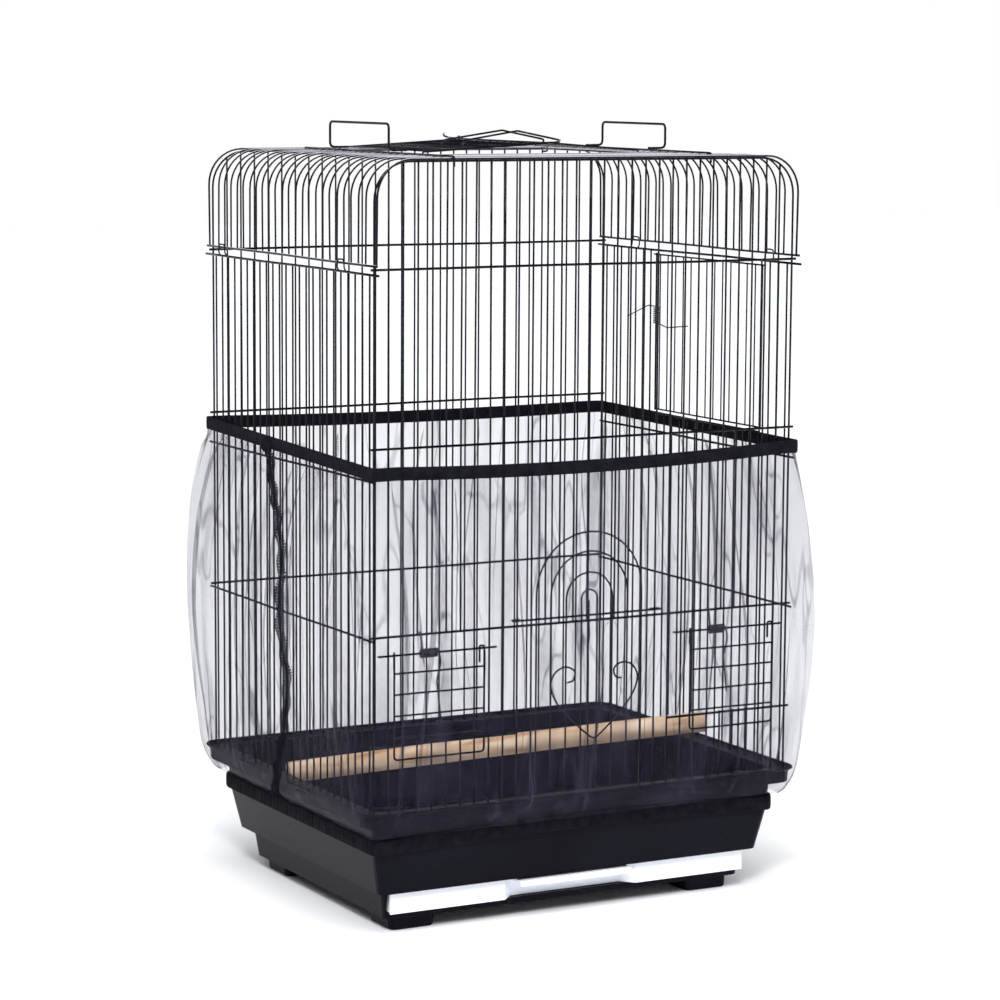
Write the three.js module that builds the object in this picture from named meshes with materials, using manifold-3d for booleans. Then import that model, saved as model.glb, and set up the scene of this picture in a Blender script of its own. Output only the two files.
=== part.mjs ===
// Wire bird cage on a plastic base with a pull-out tray, inside an elastic seed-catcher net.
// Millimetres, +Z up, origin on the floor under the middle of the cage, front at -Y.
import * as THREE from "three";
import { mergeVertices } from "three/addons/utils/BufferGeometryUtils.js";
import Module from "manifold-3d";

const wasm = await Module();
wasm.setup();

// ---------- driving dimensions ----------
const PITCH = 14.5; // centre distance of the cage bars
const FRONT_BARS = 31; // bars of the front and back panels
const SIDE_BARS = 24; // bars of each side panel
const ROOF_BARS = 23; // hoops of the roof between its two edge hoops
const HALF_X = ((FRONT_BARS - 1) * PITCH) / 2; // plane of the side panels
const HALF_Y = (SIDE_BARS * PITCH) / 2; // plane of the front and back panels
const GAP = 0.3; // air left between two pieces that touch

const BAR = 1.5; // cage bar
const WELD_BAR = 1.8; // front or back bar that reaches its rails
const RAIL = 2.2; // cross rail outside the bars
const FACE_RAIL_OUT = 1.92; // front and back rails stand this far outside the bars' plane
const SIDE_RAIL_OUT = 2.05; // side rails likewise
const SIDE_BAR_OUT = 0.3; // side bars stand this far outside the corner bars, on their rails
const ROOF_HOOP_OUT = 0.7; // so do the roof hoops' ends
const FACE_RAIL_END = 221; // the rails' cut ends stick out past the corners
const SIDE_RAIL_END = 180;
const TOP_RAIL_END = 187; // top rail of a side panel
const ROOF_RAIL_END = 184;

const RIM_TOP = 119.2; // flat of the base rim, which carries the bars
const BAR_FOOT = RIM_TOP + GAP;
const FRAME_TOP = 699; // top run of the front and back hoops
const ROOF_TOP = 701.2; // top run of the roof hoops
const ROOF_RADIUS = 34; // bend at both shoulders
const ROOF_EDGE_Y = 181; // the roof's own edge hoops, outside the front and back panels
const ROOF_RAIL = 608.5; // lower rail of the roof panel
const SIDE_TOP = 600.5; // top rail of a side panel
const LOW_RAIL = 181; // sill of the feeder openings
const MID_RAIL = 279.5; // lintel of the feeder and arch openings
const HIGH_RAIL = 447.3;
const TOP_RAIL = 605;
const SIDE_MID_RAIL = 276.3;
const SIDE_HIGH_RAIL = 418.4;

const FEEDER_BARS = [3, 4, 5, 6]; // bars interrupted by a feeder opening, and their mirror images
const ARCH_BARS = [12, 13, 14, 15, 16, 17, 18]; // bars that stop above the arch door
const WELDED_BARS = [0, 4, 8, 12, 16, 20, 24, 28, 30];
const NEST_BARS = [4, 5, 6, 7, 8, 9, 10, 11, 12, 13, 14, 15]; // right side bars cut by the nest door
const NEST_SILL = 437;

const HATCH_RAIL_X = 111; // the roof opening's side rails, which the hatch leaves hook round
const HATCH_FIRST_HOOP = 7; // first and last roof hoop cut by the opening
const HATCH_LAST_HOOP = 18;

// ---------- materials ----------
const material = (color, roughness, metalness) =>
  new THREE.MeshStandardMaterial({ color, roughness, metalness });
const BLACK_WIRE = material(0x17171d, 0.4, 0.6);
const BLACK_PLASTIC = material(0x1d1d22, 0.35, 0);
const WHITE_PLASTIC = material(0xeef1f8, 0.4, 0);
const PALE_WOOD = material(0xe6cfb4, 0.7, 0);
const NET_CLOTH = material(0x2a2a31, 0.9, 0);
const STEEL_SPRING = material(0x6a6a70, 0.35, 0.9);

// ---------- shaping helpers ----------
const vec = (x, y, z) => new THREE.Vector3(x, y, z);

// A three.js geometry as a solid that can be joined and cut.
function solid(geometry) {
  const bare = new THREE.BufferGeometry();
  bare.setAttribute("position", geometry.getAttribute("position"));
  bare.setIndex(geometry.index);
  const merged = mergeVertices(bare, 1e-4);
  return new wasm.Manifold(
    new wasm.Mesh({
      numProp: 3,
      vertProperties: new Float32Array(merged.attributes.position.array),
      triVerts: new Uint32Array(merged.index.array),
    }),
  );
}

// Skin over rings of equal length, each counter-clockwise about the direction of travel.
// Closed rings of rings make a hoop; otherwise the first and last ring are capped.
function skin(rings, closed = false) {
  const n = rings[0].length;
  const positions = rings.flat().flatMap((p) => [p.x, p.y, p.z]);
  const index = [];
  const steps = closed ? rings.length : rings.length - 1;
  for (let i = 0; i < steps; i++) {
    const low = i * n;
    const high = ((i + 1) % rings.length) * n;
    for (let k = 0; k < n; k++) {
      const next = (k + 1) % n;
      index.push(low + k, low + next, high + next);
      index.push(low + k, high + next, high + k);
    }
  }
  if (!closed) {
    const last = (rings.length - 1) * n;
    for (let k = 1; k < n - 1; k++) {
      index.push(0, k + 1, k);
      index.push(last, last + k, last + k + 1);
    }
  }
  const geometry = new THREE.BufferGeometry();
  geometry.setAttribute("position", new THREE.Float32BufferAttribute(positions, 3));
  geometry.setIndex(index);
  return solid(geometry);
}

// A wire of square section along a path of points, mitred at each bend.
function wire(points, width) {
  const path = points.map((p) => vec(...p));
  const heading = path.slice(1).map((p, i) => p.clone().sub(path[i]).normalize());
  const helper = Math.abs(heading[0].z) > 0.9 ? vec(1, 0, 0) : vec(0, 0, 1);
  let side = helper.clone().cross(heading[0]).normalize();
  const rings = path.map((point, i) => {
    const before = heading[Math.max(i - 1, 0)];
    const after = heading[Math.min(i, heading.length - 1)];
    const mitre = before.clone().add(after).normalize();
    const up = before.clone().cross(side);
    const ring = [[1, 1], [-1, 1], [-1, -1], [1, -1]].map(([a, b]) => {
      const corner = side.clone().multiplyScalar((a * width) / 2);
      corner.addScaledVector(up, (b * width) / 2);
      corner.addScaledVector(before, -corner.dot(mitre) / before.dot(mitre));
      return corner.add(point);
    });
    const turn = new THREE.Quaternion().setFromUnitVectors(before, after);
    side = side.applyQuaternion(turn);
    return ring;
  });
  return skin(rings);
}

const join = (solids) => solids.reduce((whole, next) => whole.add(next));
const cut = (whole, solids) => solids.reduce((rest, next) => rest.subtract(next), whole);

function block(x0, x1, y0, y1, z0, z1) {
  const box = new THREE.BoxGeometry(x1 - x0, y1 - y0, z1 - z0);
  box.translate((x0 + x1) / 2, (y0 + y1) / 2, (z0 + z1) / 2);
  return solid(box);
}

// A horizontal rounded rectangle as a ring of points; z is a height or a function of x and y.
function roundRect(halfX, halfY, radius, z, steps = 4) {
  const ring = [];
  for (const [sx, sy, start] of [[1, 1, 0], [-1, 1, 90], [-1, -1, 180], [1, -1, 270]]) {
    for (let i = 0; i <= steps; i++) {
      const angle = THREE.MathUtils.degToRad(start + (90 * i) / steps);
      const x = sx * (halfX - radius) + radius * Math.cos(angle);
      const y = sy * (halfY - radius) + radius * Math.sin(angle);
      ring.push(vec(x, y, typeof z === "function" ? z(x, y) : z));
    }
  }
  return ring;
}

// Points of a bend of the given radius about (cx, cz), in the plane of one X-Z hoop.
function bend(cx, cz, radius, from, to, steps, y) {
  const points = [];
  for (let i = 0; i <= steps; i++) {
    const angle = THREE.MathUtils.degToRad(from + ((to - from) * i) / steps);
    points.push([cx + radius * Math.cos(angle), y, cz + radius * Math.sin(angle)]);
  }
  return points;
}

const group = new THREE.Group();
function part(name, shape, look) {
  const mesh = shape.getMesh();
  const geometry = new THREE.BufferGeometry();
  geometry.setAttribute("position", new THREE.BufferAttribute(mesh.vertProperties, 3));
  geometry.setIndex(new THREE.BufferAttribute(mesh.triVerts, 1));
  geometry.computeVertexNormals();
  const node = new THREE.Mesh(geometry, look);
  node.name = name;
  group.add(node);
}

// ---------- base: tub with rim, lower frame, feet and tray ----------
const tubRings = [
  [201.4, 156.5, 8, 39.9],
  [208.9, 164.0, 9, 76.8],
  [211.7, 166.8, 10, 105],
  [213.6, 169.0, 11, 115.6],
  [223.6, 178.8, 16, 116.0],
  [224.0, 179.2, 16, 107.5],
  [226.2, 181.4, 17, 107.5],
  [226.6, 182.0, 17, 117.4],
  [230.0, 186.0, 19, 120.6],
  [229.6, 185.6, 19, 121.8],
  [226.6, 182.4, 17, RIM_TOP],
  [210.5, 165.6, 9, RIM_TOP],
  [209.2, 164.3, 8, 105],
  [198.9, 154.0, 6, 42.4],
  [186.0, 140.0, 4, 42.4],
  [186.0, 140.0, 4, 39.9],
];
part("base_tub", skin(tubRings.map((r) => roundRect(...r)), true), BLACK_PLASTIC);

const FRAME_FLOOR = 13;
const TRAY_FLOOR = 19.5;
const frameShell = skin([
  roundRect(189, 143, 8, FRAME_FLOOR, 3),
  roundRect(192.5, 146.5, 8, 39.6, 3),
]);
const baseFrame = join([
  cut(frameShell, [
    block(-187, 187, -141, 141, 15.5, 50),
    block(-188.6, 188.6, -160, -138, 19.2, 50),
  ]),
  block(-124, -116, -140.5, 141.5, 15, 19.1),
  block(116, 124, -140.5, 141.5, 15, 19.1),
]);
part("base_frame", baseFrame, BLACK_PLASTIC);

const FOOT_X = 158; // foot centres
const FOOT_Y = 112.5;
for (const [name, sx, sy] of [
  ["foot_front_left", -1, -1],
  ["foot_front_right", 1, -1],
  ["foot_back_left", -1, 1],
  ["foot_back_right", 1, 1],
]) {
  const place = (ring) => ring.map((p) => p.add(vec(sx * FOOT_X, sy * FOOT_Y, 0)));
  const foot = skin([
    place(roundRect(21.5, 22, 5, 0, 3)),
    place(roundRect(22.5, 23, 6, 1.2, 3)),
    place(roundRect(23, 23.5, 6, FRAME_FLOOR - GAP, 3)),
  ]);
  part(name, foot, BLACK_PLASTIC);
}

// The tray's outline seen from above, drawn in by `inset` to leave its wall.
function trayOutline(inset) {
  const shape = new THREE.Shape();
  const front = -150 + inset;
  const recess = -138 + inset;
  const back = 139 - inset;
  const side = 185.8 - inset;
  shape.moveTo(-70 - inset * 0.4, front);
  shape.lineTo(-58 - inset * 0.4, recess);
  shape.lineTo(58 + inset * 0.4, recess);
  shape.lineTo(70 + inset * 0.4, front);
  shape.lineTo(side, front);
  shape.lineTo(side, back);
  shape.lineTo(-side, back);
  shape.lineTo(-side, front);
  return shape;
}
function slab(shape, z0, z1) {
  const geometry = new THREE.ExtrudeGeometry(shape, { depth: z1 - z0, bevelEnabled: false });
  geometry.translate(0, 0, z0);
  return solid(geometry);
}
const TRAY_TOP = 38;
const TRAY_WALL = 2.2;
const tray = join([
  cut(slab(trayOutline(0), TRAY_FLOOR, TRAY_TOP), [
    slab(trayOutline(TRAY_WALL), TRAY_FLOOR + TRAY_WALL, TRAY_TOP + 5),
  ]),
  block(-188, -184, -150, -147.6, TRAY_FLOOR, TRAY_TOP),
  block(184, 188, -150, -147.6, TRAY_FLOOR, TRAY_TOP),
  block(-59, 59, -161, -137, 35.6, TRAY_TOP),
  block(-59, 59, -161, -158.6, 33, TRAY_TOP),
]);
part("tray", tray, WHITE_PLASTIC);

// ---------- front and back panels ----------
const barX = (k) => (k - (FRONT_BARS - 1) / 2) * PITCH;
const barY = (k) => (k - (SIDE_BARS - 1) / 2) * PITCH;
const hoopY = (k) => (k - (ROOF_BARS - 1) / 2) * PITCH;

// Height of a hoop's centre line over x, for its top run and shoulders.
function hoopHeight(x, top) {
  const past = Math.max(Math.abs(x) - (HALF_X - ROOF_RADIUS), 0);
  return top - ROOF_RADIUS + Math.sqrt(ROOF_RADIUS ** 2 - past ** 2);
}

// A hoop over the whole width: up one side, across the top, down the other side.
function hoopPath(halfX, y, foot, top, steps) {
  const cx = halfX - ROOF_RADIUS;
  const cz = top - ROOF_RADIUS;
  return [
    [-halfX, y, foot],
    ...bend(-cx, cz, ROOF_RADIUS, 180, 90, steps, y),
    ...bend(cx, cz, ROOF_RADIUS, 90, 0, steps, y),
    [halfX, y, foot],
  ];
}

const mirrored = (bars) => bars.concat(bars.map((k) => FRONT_BARS - 1 - k));
const feederBars = mirrored(FEEDER_BARS);

function facePanel(sideSign, hasDoors) {
  const y = sideSign * HALF_Y;
  const railY = y + sideSign * FACE_RAIL_OUT;
  const pieces = [wire(hoopPath(HALF_X, y, BAR_FOOT, FRAME_TOP, 6), WELD_BAR)];
  for (let k = 1; k < FRONT_BARS - 1; k++) {
    const x = barX(k);
    const top = hoopHeight(x, FRAME_TOP) - 0.3;
    const width = WELDED_BARS.includes(k) ? WELD_BAR : BAR;
    const stopped = hasDoors && (feederBars.includes(k) || ARCH_BARS.includes(k));
    const foot = stopped ? MID_RAIL - RAIL / 2 : BAR_FOOT;
    pieces.push(wire([[x, y, foot], [x, y, top]], width));
  }
  for (const z of [MID_RAIL, HIGH_RAIL, TOP_RAIL]) {
    pieces.push(wire([[-FACE_RAIL_END, railY, z], [FACE_RAIL_END, railY, z]], RAIL));
  }
  if (hasDoors) {
    for (const [x0, x1] of [[-FACE_RAIL_END, barX(10) - 1], [barX(21) - 1, FACE_RAIL_END]]) {
      pieces.push(wire([[x0, railY, LOW_RAIL], [x1, railY, LOW_RAIL]], RAIL));
    }
    for (const k of feederBars) {
      const x = barX(k);
      pieces.push(wire([[x, y, BAR_FOOT], [x, y, LOW_RAIL + 1.5]], WELD_BAR));
    }
  }
  return join(pieces);
}
part("front_panel", facePanel(-1, true), BLACK_WIRE);
part("back_panel", facePanel(1, false), BLACK_WIRE);

// ---------- side panels ----------
// A hook is a hairpin bent up from the top rail outside two neighbouring bars.
function hook(sideSign, k) {
  const inX = sideSign * (HALF_X + SIDE_RAIL_OUT);
  const outX = inX + sideSign * 2.2;
  const half = (y) => [[inX, y, SIDE_TOP], [outX, y, SIDE_TOP + 2.5], [outX, y, SIDE_TOP + 10.5]];
  return wire([...half(barY(k)), ...half(barY(k + 1)).reverse()], BAR);
}

function sidePanel(sideSign, hooks, hasNestDoor) {
  const x = sideSign * (HALF_X + SIDE_BAR_OUT);
  const railX = sideSign * (HALF_X + SIDE_RAIL_OUT);
  const pieces = [];
  for (let k = 0; k < SIDE_BARS; k++) {
    const y = barY(k);
    const top = hasNestDoor && NEST_BARS.includes(k) ? NEST_SILL : SIDE_TOP;
    pieces.push(wire([[x, y, BAR_FOOT], [x, y, top]], BAR));
  }
  const rails = [
    [SIDE_MID_RAIL, SIDE_RAIL_END],
    [SIDE_HIGH_RAIL, SIDE_RAIL_END],
    [SIDE_TOP, TOP_RAIL_END],
  ];
  for (const [z, end] of rails) {
    pieces.push(wire([[railX, -end, z], [railX, end, z]], RAIL));
  }
  if (hasNestDoor) {
    const first = NEST_BARS[0] - 1;
    const last = NEST_BARS[NEST_BARS.length - 1] + 1;
    pieces.push(wire([[x, barY(first), NEST_SILL], [x, barY(last), NEST_SILL]], RAIL));
  }
  return join(pieces.concat(hooks.map((k) => hook(sideSign, k))));
}
part("left_panel", sidePanel(-1, [3, 21], false), BLACK_WIRE);
part("right_panel", sidePanel(1, [2, 19], true), BLACK_WIRE);

// ---------- roof ----------
function roofPanel() {
  const pieces = [];
  const railX = HALF_X + SIDE_RAIL_OUT;
  const hoopX = HALF_X + ROOF_HOOP_OUT;
  for (const x of [-railX, railX]) {
    pieces.push(wire([[x, -ROOF_RAIL_END, ROOF_RAIL], [x, ROOF_RAIL_END, ROOF_RAIL]], RAIL));
  }
  for (const y of [-ROOF_EDGE_Y, ROOF_EDGE_Y]) {
    pieces.push(wire(hoopPath(hoopX, y, ROOF_RAIL, ROOF_TOP, 6), BAR));
  }
  for (let k = 0; k < ROOF_BARS; k++) {
    const path = hoopPath(hoopX, hoopY(k), ROOF_RAIL, ROOF_TOP, 4);
    if (k < HATCH_FIRST_HOOP || k > HATCH_LAST_HOOP) {
      pieces.push(wire(path, BAR));
      continue;
    }
    const half = path.length / 2;
    const leftEnd = [-HATCH_RAIL_X, hoopY(k), ROOF_TOP];
    const rightEnd = [HATCH_RAIL_X, hoopY(k), ROOF_TOP];
    pieces.push(wire([...path.slice(0, half), leftEnd], BAR));
    pieces.push(wire([rightEnd, ...path.slice(half)], BAR));
  }
  const y0 = hoopY(HATCH_FIRST_HOOP - 1);
  const y1 = hoopY(HATCH_LAST_HOOP + 1);
  for (const x of [-HATCH_RAIL_X, HATCH_RAIL_X]) {
    pieces.push(wire([[x, y0, ROOF_TOP], [x, y1, ROOF_TOP]], RAIL));
  }
  return join(pieces);
}
part("roof_panel", roofPanel(), BLACK_WIRE);

const ROD_Z = ROOF_TOP + BAR / 2 + GAP / 2 + RAIL / 2; // rods lie on the hoops
for (const [name, x, front] of [["roof_rod_left", -145, -186], ["roof_rod_right", 141, -152.2]]) {
  const rod = wire([[x, 120, ROD_Z], [x, front, ROD_Z], [x, front, ROD_Z - 9]], RAIL);
  part(name, rod, BLACK_WIRE);
}

const HANDLE_X = 148;
const HANDLE_BACK = 59;
for (const [name, sign, handleFront, handleTop] of [
  ["carry_handle_left", -1, -64, 729.5],
  ["carry_handle_right", 1, -59, 728],
]) {
  const x = sign * HANDLE_X;
  const footX = sign * (HANDLE_X - 18.5);
  const footZ = ROD_Z + RAIL + GAP / 2;
  const leg = (y) => [[footX, y, footZ], [x, y, footZ], [x, y, handleTop - 3]];
  const path = [
    ...leg(handleFront),
    [x, handleFront + 3, handleTop],
    [x, HANDLE_BACK - 3, handleTop],
    ...leg(HANDLE_BACK).reverse(),
  ];
  part(name, wire(path, RAIL), BLACK_WIRE);
}

// A hatch leaf: a wire frame that hooks round its rail, cross wires, and two raised bail wires.
const HATCH_HINGE_Z = ROOF_TOP + 2.8;
const HATCH_INNER_Z = 711;
const HATCH_WIRE = 1.7;
const BAIL_PEAK = 721;
const HATCH_FRONT_Y = hoopY(HATCH_FIRST_HOOP) - PITCH / 2;
const HATCH_BACK_Y = hoopY(HATCH_LAST_HOOP) + PITCH / 2;
// Each bail's own Y, and how far each of its feet reaches along X.
const BAILS = [
  { y: hoopY(11), crossY: hoopY(11) + PITCH / 2, left: -35, right: 67 },
  { y: hoopY(13) + 2, crossY: hoopY(13) + PITCH / 2, left: -42, right: 67 },
];
function hatchLeaf(side, sign, innerX) {
  const hingeX = sign * HATCH_RAIL_X;
  const rise = (x) => {
    const t = (x - hingeX) / (innerX - hingeX);
    return HATCH_HINGE_Z + t * (HATCH_INNER_Z - HATCH_HINGE_Z);
  };
  const hookOut = hingeX + sign * 3;
  const end = (y) => [
    [hingeX - sign * 1.2, y, ROOF_TOP - 2.8],
    [hookOut, y, ROOF_TOP - 2.8],
    [hookOut, y, HATCH_HINGE_Z],
    [hingeX, y, HATCH_HINGE_Z],
    [innerX, y, HATCH_INNER_Z],
  ];
  const frame = wire([...end(HATCH_FRONT_Y), ...end(HATCH_BACK_Y).reverse()], HATCH_WIRE);
  const spineX = hingeX - sign * 7;
  const spine = wire(
    [[spineX, HATCH_FRONT_Y, rise(spineX)], [spineX, HATCH_BACK_Y, rise(spineX)]],
    HATCH_WIRE,
  );
  const pieces = [frame, spine];
  for (let y = HATCH_FRONT_Y + PITCH; y < HATCH_BACK_Y - 1; y += PITCH) {
    pieces.push(wire([[spineX, y, rise(spineX)], [innerX, y, HATCH_INNER_Z]], BAR));
  }
  const midX = hingeX - sign * 48;
  pieces.push(
    wire([[midX, HATCH_FRONT_Y, rise(midX)], [midX, HATCH_BACK_Y, rise(midX)]], HATCH_WIRE),
  );
  for (const { y, crossY, [side]: bailX } of BAILS) {
    const bail = [
      [bailX, crossY, rise(bailX)],
      [bailX, y, rise(bailX) + 4.5],
      [innerX, y, BAIL_PEAK],
    ];
    pieces.push(wire(bail, HATCH_WIRE));
  }
  return pieces;
}
part("hatch_left", join(hatchLeaf("left", -1, 18)), BLACK_WIRE);
part("hatch_right", join(hatchLeaf("right", 1, 23)), BLACK_WIRE);

// ---------- arch door with its heart scroll ----------
const DOOR_Y = -178.9;
const DOOR_WIRE = 1.7;
const CROSSBAR = 2;
const DOOR_FOOT = 124;
const DOOR_BAR_Z = 284.5;
function archDoor() {
  const pieces = [];
  const arches = [[55.4, 362, 10], [40.3, 344, 8], [24.3, 324.5, 6], [8.3, 308.4, 4]];
  for (const [half, apex, steps] of arches) {
    const arch = bend(0, apex - half, half, 180, 0, steps, DOOR_Y);
    const path = [[-half, DOOR_Y, DOOR_FOOT], ...arch, [half, DOOR_Y, DOOR_FOOT]];
    pieces.push(wire(path, DOOR_WIRE));
  }
  pieces.push(wire([[-0.4, DOOR_Y, DOOR_FOOT], [-0.4, DOOR_Y, 299]], DOOR_WIRE));
  // The crossbar's ends fold back round the bars beside the opening, which guide the door.
  const frontY = DOOR_Y + (DOOR_WIRE + CROSSBAR) / 2 - 0.1;
  const backY = -HALF_Y + BAR / 2 + 1.5;
  const endX = barX(20) + 5;
  const fold = (s) => [[s * (endX - 9), backY, DOOR_BAR_Z], [s * endX, backY, DOOR_BAR_Z]];
  const front = (s) => [[s * endX, frontY, DOOR_BAR_Z]];
  const crossbar = [...fold(-1), ...front(-1), ...front(1), ...fold(1).reverse()];
  pieces.push(wire(crossbar, CROSSBAR));
  return join(pieces);
}
part("arch_door", archDoor(), BLACK_WIRE);

const HEART_X = 5;
const HEART_Y = DOOR_Y - DOOR_WIRE - 0.1;
function heart() {
  const half = [
    [28.5, 224], [22.5, 226], [20.6, 233], [25.5, 237.6], [33, 238.5], [41, 234.5],
    [46, 224], [40.5, 208], [25, 190], [6, 173.5],
  ];
  const vertex = [0, 170.5];
  const outline = [
    ...half.map(([x, z]) => vec(HEART_X - x, HEART_Y, z)),
    vec(HEART_X + vertex[0], HEART_Y, vertex[1]),
    ...half.reverse().map(([x, z]) => vec(HEART_X + x, HEART_Y, z)),
  ];
  const curve = new THREE.CatmullRomCurve3(outline, false, "centripetal");
  return wire(curve.getPoints(40).map((p) => [p.x, p.y, p.z]), DOOR_WIRE);
}
part("door_heart", heart(), BLACK_WIRE);

// ---------- feeder doors, each on its own rod with a torsion spring ----------
const ROD_Y = -178.6;
const ROD = 2;
const LEG_Y = -181.2;
const LEG = 1.6;
const EYE_DROP = 13; // the eye's inner strand hangs this far below its rod
const COIL_RADIUS = 3.8;
const COIL_HOLE = 1.9;

// A coil seen as a tube, along X, with an arm from each end.
function coilTube(length) {
  const profile = [
    [COIL_HOLE, 0], [COIL_RADIUS, 0], [COIL_RADIUS, length], [COIL_HOLE, length], [COIL_HOLE, 0],
  ];
  const lathe = new THREE.LatheGeometry(profile.map(([r, h]) => new THREE.Vector2(r, h)), 12);
  return lathe;
}

function feeder(side, look) {
  const { rodZ, rodX, legX, crossZ, bottomZ, coilX, lintelHookX } = look;
  const rod = wire(
    [
      [rodX[0], -HALF_Y - 2.4, rodZ],
      [rodX[0], ROD_Y, rodZ],
      [rodX[1], ROD_Y, rodZ],
      [rodX[1], -HALF_Y - 2.4, rodZ],
    ],
    ROD,
  );
  part("feeder_rod_" + side, rod, BLACK_WIRE);

  const eye = (x, inward) => [
    [x + inward * 3, ROD_Y + 2.35, rodZ - EYE_DROP],
    [x + inward * 3, ROD_Y + 2.35, rodZ + 2.4],
    [x, LEG_Y, rodZ + 2.4],
    [x, LEG_Y, bottomZ + 5],
  ];
  const frame = wire(
    [
      ...eye(legX[0], 1),
      [legX[0] + 5, LEG_Y, bottomZ],
      [legX[1] - 5, LEG_Y, bottomZ],
      ...eye(legX[1], -1).reverse(),
    ],
    LEG,
  );
  const cross = crossZ.map((z) => wire([[legX[0], LEG_Y, z], [legX[1], LEG_Y, z]], BAR));
  part("feeder_door_" + side, join([frame, ...cross]), BLACK_WIRE);

  const coil = coilTube(coilX[1] - coilX[0]);
  coil.rotateZ(-Math.PI / 2);
  coil.translate(coilX[0], ROD_Y, rodZ);
  const armY = ROD_Y - 2.6;
  const upArm = wire(
    [
      [coilX[0] + 0.8, armY, rodZ + 0.5],
      [lintelHookX, ROD_Y - 1, MID_RAIL + 2.6],
      [lintelHookX, ROD_Y + 2.4, MID_RAIL + 2.6],
    ],
    1.2,
  );
  const pressZ = crossZ[2];
  const pressX = coilX[1] + 1;
  const downArm = wire(
    [
      [coilX[1] - 0.8, ROD_Y - 3.1, rodZ],
      [pressX, LEG_Y - 1.9, rodZ - 6],
      [pressX, LEG_Y - 1.9, pressZ - 4],
    ],
    1.2,
  );
  part("feeder_spring_" + side, join([solid(coil), upArm, downArm]), STEEL_SPRING);
}
feeder("left", {
  rodZ: 263,
  rodX: [-214, -96.5],
  legX: [-200.5, -110],
  crossZ: [247, 228, 208.7, 189],
  bottomZ: 169,
  coilX: [-173, -156],
  lintelHookX: -174,
});
feeder("right", {
  rodZ: 261.4,
  rodX: [92, 208.4],
  legX: [107.7, 198.2],
  crossZ: [244.3, 225.3, 205.7, 186.7],
  bottomZ: 168.8,
  coilX: [129, 146],
  lintelHookX: 128,
});

// ---------- nest door in the right side ----------
const NEST_X = HALF_X + 2.7;
const NEST_FRONT_Y = -121;
const NEST_HINGE_Y = 72.5;
const NEST_LOW = 441;
const NEST_HIGH = 596;
const NEST_WIRE = 1.8;
const NEST_HINGE_WIRE = 2.2;
function nestDoor() {
  const x = NEST_X;
  const pieces = [
    wire([[x, NEST_HINGE_Y, NEST_LOW - 1.1], [x, NEST_HINGE_Y, NEST_HIGH + 1.6]], NEST_HINGE_WIRE),
    wire([[x, NEST_FRONT_Y, NEST_LOW], [x, NEST_FRONT_Y, NEST_HIGH]], NEST_WIRE),
    wire([[x, NEST_FRONT_Y - 1, NEST_LOW], [x, NEST_HINGE_Y, NEST_LOW]], NEST_WIRE),
    wire([[x, NEST_FRONT_Y - 5, NEST_HIGH], [x, NEST_HINGE_Y + 5, NEST_HIGH]], NEST_WIRE),
  ];
  for (const k of [...NEST_BARS, 16]) {
    pieces.push(wire([[x, barY(k), NEST_LOW], [x, barY(k), NEST_HIGH]], BAR));
  }
  return join(pieces);
}
part("side_door", nestDoor(), BLACK_WIRE);

const NEST_COIL = [526, 544];
function nestSpring() {
  const coil = coilTube(NEST_COIL[1] - NEST_COIL[0]);
  coil.rotateX(Math.PI / 2);
  coil.translate(NEST_X, NEST_HINGE_Y, NEST_COIL[0]);
  const tangentX = NEST_X + 3.2;
  const panelArm = wire(
    [
      [tangentX, NEST_HINGE_Y, NEST_COIL[1] - 0.8],
      [tangentX, 93, NEST_COIL[1] - 0.8],
      [NEST_X + 0.2, 130, 530],
    ],
    1.2,
  );
  const doorArm = wire(
    [
      [tangentX, NEST_HINGE_Y, NEST_COIL[0] + 0.8],
      [tangentX, 56, 523.5],
      [NEST_X + 2.2, 16, 528],
    ],
    1.2,
  );
  return join([solid(coil), panelArm, doorArm]);
}
part("side_door_spring", nestSpring(), STEEL_SPRING);

// ---------- perch ----------
const PERCH_RADIUS = 10;
function perch() {
  const from = vec(-205, 34, 117);
  const to = vec(212, -42, 142);
  const length = from.distanceTo(to);
  const rod = new THREE.CylinderGeometry(PERCH_RADIUS, PERCH_RADIUS, length, 20);
  const along = to.clone().sub(from).normalize();
  rod.applyQuaternion(new THREE.Quaternion().setFromUnitVectors(vec(0, 1, 0), along));
  rod.translate(...from.add(to).multiplyScalar(0.5).toArray());
  return solid(rod);
}
part("perch", perch(), PALE_WOOD);

// ---------- seed-catcher net: elastic band, cloth and elastic hem ----------
const BAND_X = 221.9; // inner half sizes, clear of every door fitting
const BAND_Y = 184.3;
const BAND_THICK = 1.2;
const BAND_HEIGHT = 12.3;
// Lower edge of the band: its four corners sit at slightly different heights, and it sags between.
function bandLow(x, y) {
  const u = (x + HALF_X) / (2 * HALF_X);
  const v = (y + HALF_Y) / (2 * HALF_Y);
  const front = 420 + 3.4 * u - 5 * Math.max(0, 1 - (x / 200) ** 2);
  const back = 430.5 - 3.8 * u - 2.5 * Math.max(0, 1 - (x / 200) ** 2);
  return front + (back - front) * Math.min(Math.max(v, 0), 1);
}
const bandRing = (out, lift) =>
  roundRect(BAND_X + out, BAND_Y + out, 6 + out, (x, y) => bandLow(x, y) + lift, 3);

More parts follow.
